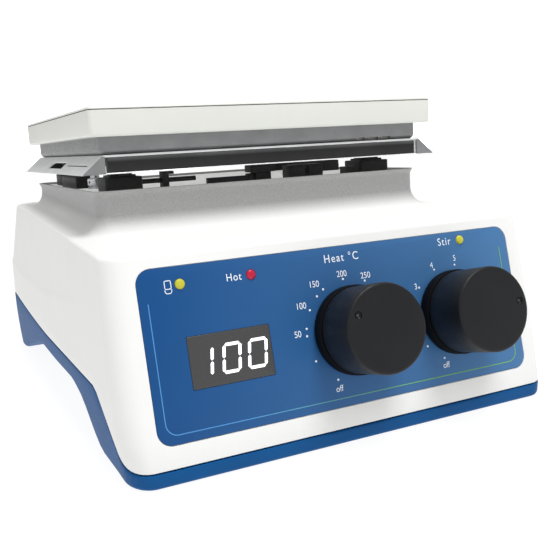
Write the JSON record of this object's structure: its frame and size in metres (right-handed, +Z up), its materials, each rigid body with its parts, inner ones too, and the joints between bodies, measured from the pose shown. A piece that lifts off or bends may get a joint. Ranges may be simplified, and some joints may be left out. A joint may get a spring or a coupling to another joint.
{
  "type": "magnetic stirrer",
  "caption": "Hot-plate magnetic stirrer with a square ceramic top on a flared heat shield, a sloping panel with a lit display and two dials, and a motor-driven magnet inside.",
  "frame": {"origin": "middle of the outer box in plan, on the surface that the rubber feet rest on", "axes": "+X to the right seen from the panel, +Y to the rear, +Z up; the control panel faces -Y and leans back"},
  "size_m": [0.177, 0.2486, 0.1212],
  "materials": {
    "base_blue": "satin",
    "casing_white": "satin",
    "foot_rubber": "matte",
    "bright_steel": "satin",
    "top_ceramic": "satin",
    "pan_steel": "satin",
    "shield_steel": "satin",
    "element_alloy": "matte",
    "mica": "satin",
    "insulation": "matte",
    "black_plastic": "satin",
    "lead_sleeve": "matte",
    "copper_winding": "satin",
    "carrier_aluminium": "satin",
    "magnet": "satin",
    "board_green": "satin",
    "transformer_core": "matte",
    "relay_blue": "satin",
    "white_plastic": "satin",
    "ribbon_grey": "satin",
    "overlay_blue": "satin",
    "window_grey": "gloss",
    "lamp_lens": "gloss",
    "knob_black": "satin",
    "collar_black": "matte",
    "fuse_glass": "gloss",
    "label_silver": "satin"
  },
  "bodies": {
    "housing": {"base_shell": "base_blue", "upper_casing": "casing_white", "rubber_feet": "foot_rubber", "base_screws": "bright_steel", "ceramic_top": "top_ceramic", "heater_pan": "pan_steel", "heat_shield": "shield_steel", "heating_element": "element_alloy", "mica_sheet": "mica", "insulation_pad": "insulation", "plate_standoffs": "black_plastic", "standoff_screws": "bright_steel", "side_strips": "black_plastic", "earth_post": "bright_steel", "thermal_cutout": "black_plastic", "heater_terminals": "black_plastic", "sensor_sheath": "black_plastic", "sensor_clip": "black_plastic", "sensor_plug": "black_plastic", "heater_leads": "lead_sleeve", "motor_can": "pan_steel", "motor_stator": "copper_winding", "motor_bearings": "bright_steel", "motor_bracket": "pan_steel", "motor_grommets": "foot_rubber", "motor_screws": "bright_steel", "main_board": "board_green", "board_pillars": "bright_steel", "transformer": "transformer_core", "relay": "relay_blue", "heat_sink": "carrier_aluminium", "capacitors": "black_plastic", "board_connectors": "white_plastic", "ribbon_cable": "ribbon_grey", "front_overlay": "overlay_blue", "display_window": "window_grey", "display_module": "black_plastic", "status_lamps": "lamp_lens", "front_board": "board_green", "heat_control": "bright_steel", "heat_nut": "bright_steel", "stir_control": "bright_steel", "stir_nut": "bright_steel", "mains_inlet": "black_plastic", "inlet_screws": "bright_steel", "probe_socket": "black_plastic", "rod_pillar": "bright_steel", "rating_plate": "label_silver"},
    "heat_dial": {"heat_knob": "knob_black", "heat_collar": "collar_black", "heat_spindle": "bright_steel"},
    "stir_dial": {"stir_knob": "knob_black", "stir_collar": "collar_black", "stir_spindle": "bright_steel"},
    "stir_drive": {"drive_shaft": "bright_steel", "motor_rotor": "pan_steel", "magnet_carrier": "carrier_aluminium", "stir_magnets": "magnet"},
    "fuse_carrier": {"fuse_drawer": "black_plastic", "fuses": "fuse_glass"}
  },
  "joints": [
    {"name": "heat_dial_turn", "type": "hinge", "parent": "housing", "child": "heat_dial", "pos_m": [0, -0.09877, 0.03814], "axis": [0, -0.9744, 0.225], "range_deg": [-210, 90]},
    {"name": "stir_dial_turn", "type": "hinge", "parent": "housing", "child": "stir_dial", "pos_m": [0.0448, -0.09877, 0.03814], "axis": [0, -0.9744, 0.225], "range_deg": [-60, 238]},
    {"name": "stir_drive_spin", "type": "hinge", "parent": "housing", "child": "stir_drive", "pos_m": [0, 0.02843, 0.061], "axis": [0, 0, 1], "continuous": true},
    {"name": "fuse_drawer_slide", "type": "slide", "parent": "housing", "child": "fuse_carrier", "axis": [0, 1, 0], "range_m": [0, 0.019]}
  ]
}
